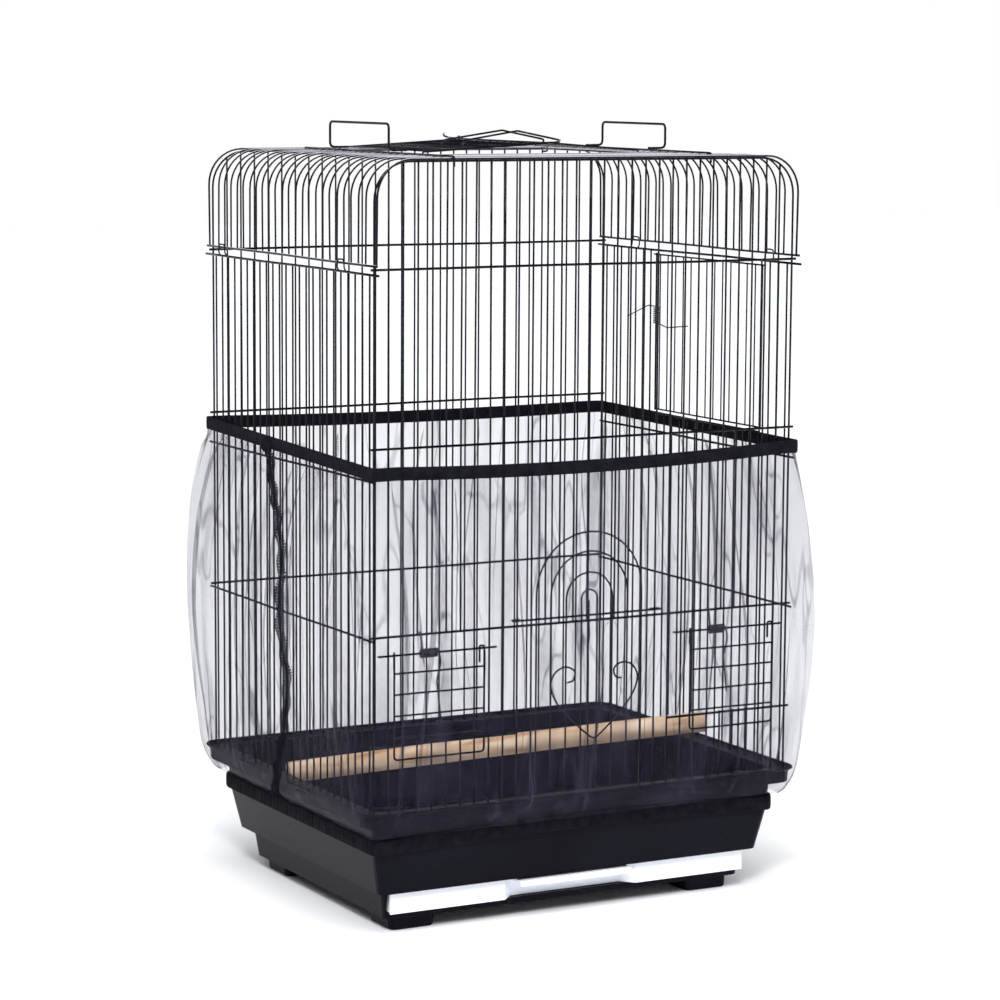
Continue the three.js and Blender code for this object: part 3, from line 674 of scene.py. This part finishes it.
def hatch_leaf(sign, inner_x):
    hinge_x = sign * HATCH_X

    def rise(x):
        return HATCH_HINGE_Z + (x - hinge_x) / (inner_x - hinge_x) * (HATCH_INNER_Z - HATCH_HINGE_Z)

    out = hinge_x + sign * 3
    ends = []
    for y in (HATCH_FRONT_Y, HATCH_BACK_Y):
        ends.append([
            (hinge_x - sign * 1.2, y, ROOF_TOP - 2.8), (out, y, ROOF_TOP - 2.8),
            (out, y, HATCH_HINGE_Z), (hinge_x, y, HATCH_HINGE_Z), (inner_x, y, HATCH_INNER_Z),
        ])
    wires = [(eased(ends[0] + ends[1][::-1], 2), 0.85)]
    for x in (hinge_x - sign * 7, hinge_x - sign * 48):
        wires.append(([(x, HATCH_FRONT_Y, rise(x)), (x, HATCH_BACK_Y, rise(x))], 0.8))
    y = HATCH_FRONT_Y + PITCH
    spine_x = hinge_x - sign * 7
    while y < HATCH_BACK_Y - 1:
        wires.append(([(spine_x, y, rise(spine_x)), (inner_x, y, HATCH_INNER_Z)], 0.7))
        y += PITCH
    for y, cross_y, reach in BAILS:
        foot = reach[0] if sign < 0 else reach[1]
        tip_x = HATCH_MIDDLE + sign * 0.3
        path = [(foot, cross_y, rise(foot)), (foot, y, rise(foot) + 4.5), (tip_x, y, BAIL_PEAK)]
        wires.append((eased(path, 3), 0.95))
    return wires


def latch_wires():
    """The latch lying on the left leaf: a long bent wire with a small hook at its back end."""
    long_wire = [
        (3, 118, 716), (6, 124, 714), (8, 119, 712.6), (0, 99, 712.6), (-6, 30, 712), (-8, -42, 712),
        (-2, -60, 711), (34, -52, 711.5), (44, -40, 713),
    ]
    hook = [(2, 84, 714.5), (-3, 78, 712.8), (-7, 80, 712.6), (-5, 90, 712.6)]
    return [(eased(long_wire, 4), 0.9), (eased(hook, 3), 0.9)]


place_wires("hatch_left", hatch_leaf(-1, 18) + latch_wires(), "hatch_leaf_left")
place_wires("hatch_right", hatch_leaf(1, 23), "hatch_leaf_right")

DOOR_Y, DOOR_FOOT, DOOR_BAR_Z = -178.9, 124.0, 284.5


def arch_door():
    wires = []
    for half, apex in ((55.4, 362), (40.3, 344), (24.3, 324.5), (8.3, 308.4)):
        over = arc(0, apex - half, half, 180, 0, 20, DOOR_Y)
        wires.append(([(-half, DOOR_Y, DOOR_FOOT)] + over + [(half, DOOR_Y, DOOR_FOOT)], 0.85))
    kinked = ((-0.4, DOOR_FOOT), (-0.6, 247), (-1.5, 256), (0.6, 265), (-0.4, 275), (-0.4, 299))
    wires.append((eased([(x, DOOR_Y, z) for x, z in kinked], 4), 0.85))
    front_y, back_y, end_x = DOOR_Y + 1.75, -171.75, bar_x(20) + 5
    path = [(s * x, y, DOOR_BAR_Z) for s, x, y in (
        (-1, end_x - 9, back_y), (-1, end_x, back_y), (-1, end_x, front_y),
        (1, end_x, front_y), (1, end_x, back_y), (1, end_x - 9, back_y),
    )]
    wires.append((eased(path, 2.2), 1.0))
    return wires


place_wires("arch_door", arch_door(), "arch_gate")


def door_heart():
    """The scroll heart: each half starts in a small curl and sweeps down to the point."""
    half = ((28.5, 224), (22.5, 226), (20.6, 233), (25.5, 237.6), (33, 238.5), (41, 234.5),
            (46, 224), (40.5, 208), (25, 190), (6, 173.5))
    knots = [(5 - x, z) for x, z in half] + [(5, 170.5)] + [(5 + x, z) for x, z in reversed(half)]
    y = DOOR_Y - 1.8
    path = []
    last = len(knots) - 1
    for i in range(last):
        p0, p1 = knots[max(i - 1, 0)], knots[i]
        p2, p3 = knots[i + 1], knots[min(i + 2, last)]
        for k in range(6):
            t = k / 6
            point = []
            for a, b, c, d in zip(p0, p1, p2, p3):
                point.append(0.5 * (2 * b + (c - a) * t + (2 * a - 5 * b + 4 * c - d) * t * t
                                    + (3 * b - a - 3 * c + d) * t ** 3))
            path.append((point[0], y, point[1]))
    path.append((knots[-1][0], y, knots[-1][1]))
    return path


place_wires("door_heart", [(door_heart(), 0.85)], "arch_gate", 10)

FEEDER_ROD_Y, FEEDER_LEG_Y = -178.6, -181.2
for side, rod_z, rod_x, leg_x, cross_z, bottom_z in (
    ("left", 263, (-214, -96.5), (-200.5, -110), (247, 228, 208.7, 189), 169),
    ("right", 261.4, (92, 208.4), (107.7, 198.2), (244.3, 225.3, 205.7, 186.7), 168.8),
):
    bend_y = -HALF_Y - 2.4
    rod = [(rod_x[0], bend_y, rod_z), (rod_x[0], FEEDER_ROD_Y, rod_z)]
    rod += [(rod_x[1], FEEDER_ROD_Y, rod_z), (rod_x[1], bend_y, rod_z)]
    place_wires("feeder_rod_" + side, [(eased(rod, 2), 1.0)], "cage")

    def eye(x, inward):
        back_y = FEEDER_ROD_Y + 2.35
        return [
            (x + inward * 2.2, back_y, rod_z - 13), (x + inward * 2.2, back_y, rod_z + 2.4),
            (x, FEEDER_LEG_Y, rod_z + 2.4), (x, FEEDER_LEG_Y, bottom_z),
        ]

    frame_path = eye(leg_x[0], 1) + eye(leg_x[1], -1)[::-1]
    wires = [(eased(frame_path, 4, 6), 0.98)]
    for z in cross_z:
        wires.append((rail((leg_x[0], FEEDER_LEG_Y, z), (leg_x[1], FEEDER_LEG_Y, z), 0.15), 0.9))
    place_wires("feeder_door_" + side, wires, "feeder_flap_" + side)


def nest_door():
    x, front, hinge, low, high = HALF_X + 2.7, -121.0, 72.5, 441.0, 596.0
    wires = [
        ([(x, hinge, low - 1.1), (x, hinge, high + 1.6)], 1.05),
        (upright(x, front, low, high, (0.2, 0.4)), 0.85),
        ([(x, front - 1, low), (x, hinge, low)], 0.85),
        ([(x, front - 5, high), (x, hinge + 5, high)], 0.85),
    ]
    for k in NEST_BARS + (16,):
        wires.append((upright(x, bar_y(k), low, high, (0.2, 0.5)), 0.72))
    return wires


place_wires("side_door", nest_door(), "nest_gate")


# ------------------------------------------------------------------ springs
def spring(name, centre, axis, radius, length, turns, first_arm, last_arm, node, thick=0.62):
    """A wound wire on the cage, with an arm from each end."""
    axis = Vector(axis).normalized()
    centre = Vector(centre)
    start_side = Vector(first_arm[0]) - centre
    start_side = (start_side - axis * start_side.dot(axis)).normalized()
    other = axis.cross(start_side)
    coil = []
    steps = int(turns * 14)
    end_side = Vector(last_arm[0]) - centre
    end_angle = math.atan2(end_side.dot(other), end_side.dot(start_side))
    total = 2 * math.pi * turns + end_angle
    for i in range(steps + 1):
        t = i / steps
        angle = total * t
        ring = radius * (math.cos(angle) * start_side + math.sin(angle) * other)
        coil.append(centre + axis * (t - 0.5) * length + ring)
    path = [Vector(p) for p in reversed(first_arm[1:])] + coil + [Vector(p) for p in last_arm[1:]]
    piece = wires_object(name, [([p / MM for p in path], thick)], SPRING, 8)
    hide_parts(node)
    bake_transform(piece)


ROD_Y = FEEDER_ROD_Y * MM
PRESS_Y = -183.1 * MM
LINTEL_HOOK_Z = 282.1 * MM
for side, rod_z, coil_x, hook_x, press_z in (
    ("left", 263, (-173, -156), -174, 204.7),
    ("right", 261.4, (129, 146), 128, 201.7),
):
    middle = ((coil_x[0] + coil_x[1]) / 2 * MM, ROD_Y, rod_z * MM)
    first = [
        (coil_x[0] * MM, ROD_Y - 3.2 * MM, rod_z * MM),
        (coil_x[0] * MM, ROD_Y - 3.1 * MM, (rod_z + 2) * MM),
        (hook_x * MM, ROD_Y - 1.2 * MM, LINTEL_HOOK_Z),
        (hook_x * MM, ROD_Y + 2.2 * MM, LINTEL_HOOK_Z),
    ]
    last = [
        (coil_x[1] * MM, ROD_Y - 3.2 * MM, rod_z * MM),
        ((coil_x[1] + 0.5) * MM, ROD_Y - 4.4 * MM, (rod_z - 4) * MM),
        ((coil_x[1] + 1) * MM, PRESS_Y, (rod_z - 9) * MM),
        ((coil_x[1] - 3) * MM, PRESS_Y, (rod_z - 25) * MM),
        ((coil_x[1] + 1) * MM, PRESS_Y, press_z * MM),
    ]
    spring(
        "spring_" + side, middle, (1, 0, 0), 3.5 * MM, 16.2 * MM, 9,
        first, last, "feeder_spring_" + side, 0.8,
    )

NEST_X = 220.2
first = [
    ((NEST_X + 2.6) * MM, 72.5 * MM, 543 * MM),
    ((NEST_X + 2.8) * MM, 76 * MM, 543.4 * MM),
    ((NEST_X + 3) * MM, 93 * MM, 543.6 * MM),
    ((NEST_X + 0.4) * MM, 130 * MM, 530 * MM),
]
last = [
    ((NEST_X + 2.6) * MM, 72.5 * MM, 527 * MM),
    ((NEST_X + 2.8) * MM, 69 * MM, 526 * MM),
    ((NEST_X + 3) * MM, 56 * MM, 523.5 * MM),
    ((NEST_X + 2.2) * MM, 16 * MM, 528 * MM),
]
spring(
    "spring_nest", (NEST_X * MM, 72.5 * MM, 535 * MM), (0, 0, -1), 2.6 * MM, 16.5 * MM, 9,
    first, last, "side_door_spring",
)


# ------------------------------------------------------------------ net
BAND_HEIGHT = 12.3
HEM_LOW, HEM_TOP = 79, 93.4
CLOTH_TOP, CLOTH_FOOT = 424, 95.5


def band_low(x, y):
    """Height of the band's lower edge, in mm."""
    u = (x + HALF_X) / (2 * HALF_X)
    v = np.clip((y + HALF_Y) / (2 * HALF_Y), 0, 1)
    bow = np.maximum(0, 1 - (x / 200) ** 2)
    front = 420 + 3.4 * u - 5 * bow
    back = 430.5 - 3.8 * u - 2.5 * bow
    return front + (back - front) * v


def outline(count, half_x, half_y, radius, spread=30.0):
    """Points, outward normals and the running length of a rounded rectangle, in mm, from the back left.

    The points are spaced as if the corner radius were spread larger, so that a wide
    offset keeps even faces round its corners."""
    straight_x, straight_y = half_x - radius, half_y - radius
    arc = math.pi / 2 * (radius + spread)
    lengths = [2 * straight_x, arc, 2 * straight_y, arc, 2 * straight_x, arc, 2 * straight_y, arc]
    total = sum(lengths)
    points, normals, run = [], [], []
    corners = [(1, -1), (1, 1), (-1, 1), (-1, -1)]
    for i in range(count):
        s = total * i / count
        run.append(s)
        part = 0
        while s > lengths[part]:
            s -= lengths[part]
            part += 1
        t = s / lengths[part]
        side = part // 2
        if part % 2 == 0:
            x, y, n = [
                (-straight_x + 2 * straight_x * t, -half_y, (0, -1)),
                (half_x, -straight_y + 2 * straight_y * t, (1, 0)),
                (straight_x - 2 * straight_x * t, half_y, (0, 1)),
                (-half_x, straight_y - 2 * straight_y * t, (-1, 0)),
            ][side]
        else:
            cx, cy = corners[side]
            angle = math.radians(-90 + 90 * side + 90 * t)
            n = (math.cos(angle), math.sin(angle))
            x = cx * straight_x + radius * n[0]
            y = cy * straight_y + radius * n[1]
        points.append((x, y))
        normals.append(n)
    return np.array(points), np.array(normals), np.array(run)


def smooth_noise(values, seed, octaves):
    """Repeatable waves over an angle-like running value: a sum of sines with fixed random phases."""
    chance = np.random.default_rng(seed)
    total = np.zeros_like(values, dtype=float)
    for frequency, amplitude in octaves:
        total += amplitude * np.sin(values * frequency + chance.uniform(0, 2 * math.pi))
    return total


FOLDS = 52
# height above the floor, then how far the cloth stands off the bars along X and along Y, in mm
CLOTH_PROFILE = np.array([
    (CLOTH_TOP, 5.5, 11.5), (400, 13.5, 15.5), (362, 22, 23), (312, 27.5, 27.5), (259, 29, 29.5),
    (202, 25.5, 26.5), (152, 20, 20.5), (120, 16, 16.5), (104, 10, 10.5), (CLOTH_FOOT, -1.5, -2.2),
])


def folds(run, total, height):
    """Sideways and outward shift, in mm, of the pleats where the gathered net doubles over."""
    chance = np.random.default_rng(41)
    sideways = np.zeros_like(run)
    outward = np.zeros_like(run)
    for i in range(FOLDS):
        place = total * (i + chance.uniform(-0.35, 0.35)) / FOLDS
        drift = chance.uniform(-20, 20)
        curl = chance.uniform(3, 9)
        width = chance.uniform(1.8, 5.5)
        depth = chance.uniform(0.2, 3.4)
        fade = chance.uniform(0.35, 1.2)
        swell = math.exp(-((height - chance.uniform(-0.1, 1.1)) / fade) ** 2)
        at = place + drift * (height - 0.5) + curl * math.sin(5 * height + i)
        away = (run - at + total / 2) % total - total / 2
        near = away / width
        bell = np.exp(-near ** 2)
        sideways -= depth * swell * width * near * bell
        outward += 0.42 * depth * swell * width * bell * (1 if i % 3 else -0.4)
    return sideways, outward


def net_cloth(count=1300, rows=84):
    """The gathered net, from under the band down to the hem."""
    base, normal, run = outline(count, HALF_X, HALF_Y, 6)
    total = run[-1] * count / (count - 1)
    tangent = np.stack([-normal[:, 1], normal[:, 0]], axis=1)
    turn = run / total * 2 * math.pi
    height = CLOTH_PROFILE[:, 0][::-1]
    along = np.linspace(0, 1, rows)
    levels = CLOTH_TOP - (CLOTH_TOP - CLOTH_FOOT) * along
    out_x = np.interp(levels, height, CLOTH_PROFILE[:, 1][::-1])
    out_y = np.interp(levels, height, CLOTH_PROFILE[:, 2][::-1])
    kernel = np.array([1, 4, 6, 4, 1]) / 16
    for _ in range(6):
        out_x[2:-2] = np.convolve(out_x, kernel, "valid")
        out_y[2:-2] = np.convolve(out_y, kernel, "valid")
    points = np.zeros((rows, count, 3))
    uv = np.zeros((rows, count, 2))
    from_top = CLOTH_TOP - levels
    from_hem = levels - CLOTH_FOOT
    for r in range(rows):
        t = along[r]
        share = np.abs(normal[:, 0]) ** 2
        out = out_x[r] * share + out_y[r] * (1 - share)
        gather = 1.7 * math.exp(-from_top[r] / 26) + 1.3 * math.exp(-from_hem[r] / 26)
        fine = smooth_noise(turn, 3, [(97, 0.6), (131, 0.5), (173, 0.35)])
        slant = smooth_noise(turn + 0.35 * t, 9, [(7, 0.9), (11, 0.9), (19, 0.7)])
        billow = math.sin(math.pi * min(t * 1.02, 1)) ** 0.8
        ease = min(1, from_top[r] / 14, from_hem[r] / 14)
        sideways, outward = folds(run, total, t)
        out = out + gather * fine + 1.5 * billow * slant + ease * outward
        if from_hem[r] < 10:
            out = np.clip(out, -3.4, None)
        shift = ease * sideways
        for axis in (0, 1):
            points[r, :, axis] = base[:, axis] + normal[:, axis] * out + tangent[:, axis] * shift
        follow = max(0, from_hem[r] / (CLOTH_TOP - CLOTH_FOOT))
        rise = (band_low(base[:, 0], base[:, 1]) - CLOTH_TOP) * follow
        points[r, :, 2] = levels[r] + rise
        uv[r, :, 0] = run * MM
    step = np.linalg.norm(np.diff(points, axis=0), axis=2)
    uv[1:, :, 1] = np.cumsum(step.mean(axis=1))[:, None] * MM
    return grid_object("net_cloth", points * MM, TULLE, uv=uv)


def casing(name, count, half_x, half_y, radius, low, height, thick, wrinkle, seed):
    """A gathered elastic casing: a soft flattened tube round the cage. low(x, y) is in mm."""
    base, normal, run = outline(count, half_x, half_y, radius, 2)
    turn = run / run[-1] * 2 * math.pi
    around = 14
    points = np.zeros((around, count, 3))
    uv = np.zeros((around, count, 2))
    gathers = smooth_noise(turn, seed, [(211, 0.5), (157, 0.4), (293, 0.35), (83, 0.3)])
    frill = smooth_noise(turn, seed + 1, [(241, 0.5), (179, 0.4), (61, 0.4)])
    for k in range(around):
        angle = 2 * math.pi * k / around
        outward = math.cos(angle)
        upward = math.sin(angle)
        out = thick / 2 + outward * thick / 2
        squared = math.copysign(abs(upward) ** 0.55, upward)
        if outward > -0.2:
            out = out + wrinkle * gathers * (0.5 + 0.5 * outward)
        rise = height / 2 + squared * (height / 2 + 0.25 * wrinkle * frill)
        points[k, :, 0] = base[:, 0] + normal[:, 0] * out
        points[k, :, 1] = base[:, 1] + normal[:, 1] * out
        points[k, :, 2] = low(base[:, 0], base[:, 1]) + rise
        uv[k, :, 0] = run * MM
        uv[k, :, 1] = height * k / around * MM
    return grid_object(name, points * MM, CASING, closed_v=True, uv=uv)


def pack_down(piece):
    """The piece gets a mesh of its own."""
    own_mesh(piece)


cloth = net_cloth()
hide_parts("net_fabric")
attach(cloth, "net_body")
pack_down(cloth)

upper = casing("net_band_casing", 1500, 221.3, 184.2, 4, band_low, BAND_HEIGHT, 1.8, 0.14, 21)
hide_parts("net_band")
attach(upper, "net_body")


def hem_low(x, y):
    """Height of the hem's lower edge, in mm: it rides up in the middle of the front."""
    bow = np.maximum(0, 1 - (x / 200) ** 2)
    return HEM_LOW + np.where(y < -100, 5.0 * bow, 0)


lower = casing("net_hem_casing", 1400, 211.5, 166.7, 10, hem_low, HEM_TOP - HEM_LOW, 2.2, 0.3, 33)
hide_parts("net_hem")
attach(lower, "cage")


# ------------------------------------------------------------------ the net's seam and knot
# Y and height, in mm, of the places where the seam changes its lean
SEAM = ((37, 431), (-22, 368), (-41, 330), (-38, 287), (-56, 225), (-38, 174), (12, 96))


def seam():
    """The gathered seam on the left: a doubled cord with looped edging, standing on the net."""
    heights = CLOTH_PROFILE[:, 0][::-1]
    outs = CLOTH_PROFILE[:, 1][::-1]
    distance = [0]
    for (y0, z0), (y1, z1) in zip(SEAM, SEAM[1:]):
        distance.append(distance[-1] + math.hypot(y1 - y0, z1 - z0))
    count = 420
    stations = np.linspace(0, distance[-1], count)
    ys = np.interp(stations, distance, [p[0] for p in SEAM])
    zs = np.interp(stations, distance, [p[1] for p in SEAM])
    kernel = np.ones(31) / 31
    for values in (ys, zs):
        values[15:-15] = np.convolve(values, kernel, "valid")
    xs = -(HALF_X + np.interp(zs, heights, outs) + 1.6)
    wires = []
    core = [(xs[i], ys[i], zs[i]) for i in range(0, count, 4)]
    wires.append((core, 0.95))
    for side, seed in ((1, 0.0), (-1, 1.1)):
        loops = []
        for i in range(count * 5):
            t = i / (count * 5 - 1)
            s = t * distance[-1]
            at = t * (count - 1)
            y, z = np.interp(at, range(count), ys), np.interp(at, range(count), zs)
            swing = 1 + math.sin(s * 2.3 + seed)
            ruffle = 1 + 0.4 * math.sin(s * 0.21 + seed * 3)
            reach = side * ruffle * (0.5 + 1.2 * swing)
            x = np.interp(at, range(count), xs) - 0.8 * reach - 0.7 * math.cos(s * 2.3 + seed)
            loops.append((x, y + 0.9 * reach, z + 0.5 * math.sin(s * 4.6)))
        wires.append((loops, 0.55))
    piece = wires_object("net_seam", wires, CASING, 5)
    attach(piece, "net_body")
    pack_down(piece)
    return piece


def knot():
    """Where the band's ends are tied: a soft lump gathered round the band."""
    rows, columns = 15, 28
    points = np.zeros((rows, columns, 3))
    for r in range(rows):
        t = r / (rows - 1) * 2 - 1
        swell = (1 - t * t) ** 0.5 if abs(t) < 1 else 0
        for k in range(columns):
            angle = 2 * math.pi * k / columns
            crease = 1 + 0.07 * math.sin(3 * angle + 4 * t) + 0.05 * math.sin(9 * t + 2 * angle)
            out = (1.4 + 2.2 * swell) * crease * math.cos(angle)
            up = (5.6 + 2.3 * swell) * crease * math.sin(angle)
            points[r, k] = (-(HALF_X + 5.9) - out, 41 + 10 * t, 430.8 - 0.021 * t * 10 + up)
    piece = grid_object("net_knot", points * MM, CASING, cap=True)
    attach(piece, "net_body")
    return piece


seam_piece = seam()
knot_piece = knot()


# ------------------------------------------------------------------ floor, light
def studio():
    """A white floor and world, a wide soft sky and three small softboxes."""
    mesh = bpy.data.meshes.new("floor")
    reach = 12.0
    corners = [(-reach, -reach, 0), (reach, -reach, 0), (reach, reach, 0), (-reach, reach, 0)]
    mesh.from_pydata(corners, [], [(0, 1, 2, 3)])
    floor = link_object(bpy.data.objects.new("floor", mesh))
    material, tree, output = new_material("floor_white")
    shader = add(tree, "BsdfPrincipled")
    shader.inputs["Base Color"].default_value = (0.93, 0.94, 0.97, 1)
    shader.inputs["Roughness"].default_value = 0.6
    shader.inputs["Specular IOR Level"].default_value = 0.2
    link(tree, shader, "BSDF", output, "Surface")
    mesh.materials.append(material)

    world = bpy.data.worlds.new("studio")
    bpy.context.scene.world = world
    world.use_nodes = True
    tree = world.node_tree
    tree.nodes.clear()
    output = tree.nodes.new("ShaderNodeOutputWorld")
    white = add(tree, "Background")
    white.inputs["Color"].default_value = (1, 1, 1, 1)
    white.inputs["Strength"].default_value = 1.0
    dim = add(tree, "Background")
    dim.inputs["Color"].default_value = (0.92, 0.95, 1, 1)
    direction = add(tree, "TexCoord")
    height = add(tree, "SeparateXYZ")
    link(tree, direction, "Generated", height, "Vector")
    glow = map_range(tree, height, "Z", 0.0, 0.3, 1.15, 0.1)
    link(tree, glow, "Result", dim, "Strength")
    ray = add(tree, "LightPath")
    mix = add(tree, "MixShader")
    link(tree, ray, "Is Camera Ray", mix, "Fac")
    link(tree, dim, "Background", mix, 1)
    link(tree, white, "Background", mix, 2)
    link(tree, mix, "Shader", output, "Surface")

    sun = bpy.data.lights.new("sky", "SUN")
    sun.energy = 3.9
    sun.angle = math.radians(70)
    lamp = link_object(bpy.data.objects.new("sky", sun))
    lamp.rotation_euler = Vector((0.25, 0.45, -1)).to_track_quat("-Z", "Y").to_euler()

    def softbox(name, place, aim, size, power):
        data = bpy.data.lights.new(name, "AREA")
        data.shape = "RECTANGLE"
        data.size, data.size_y = size
        data.energy = power
        lamp = link_object(bpy.data.objects.new(name, data))
        lamp.location = place
        lamp.rotation_euler = (Vector(aim) - Vector(place)).to_track_quat("-Z", "Y").to_euler()

    softbox("key", (-1.6, -2.6, 2.7), (0, 0, 0.4), (0.55, 0.55), 70)
    softbox("rim_right", (2.4, -1.2, 2.6), (0, 0, 0.5), (0.5, 0.5), 22)
    softbox("fill_low", (0.2, -3.4, 0.9), (0, 0, 0.1), (1.6, 0.8), 6)


studio()
bpy.context.scene.view_settings.view_transform = "Standard"
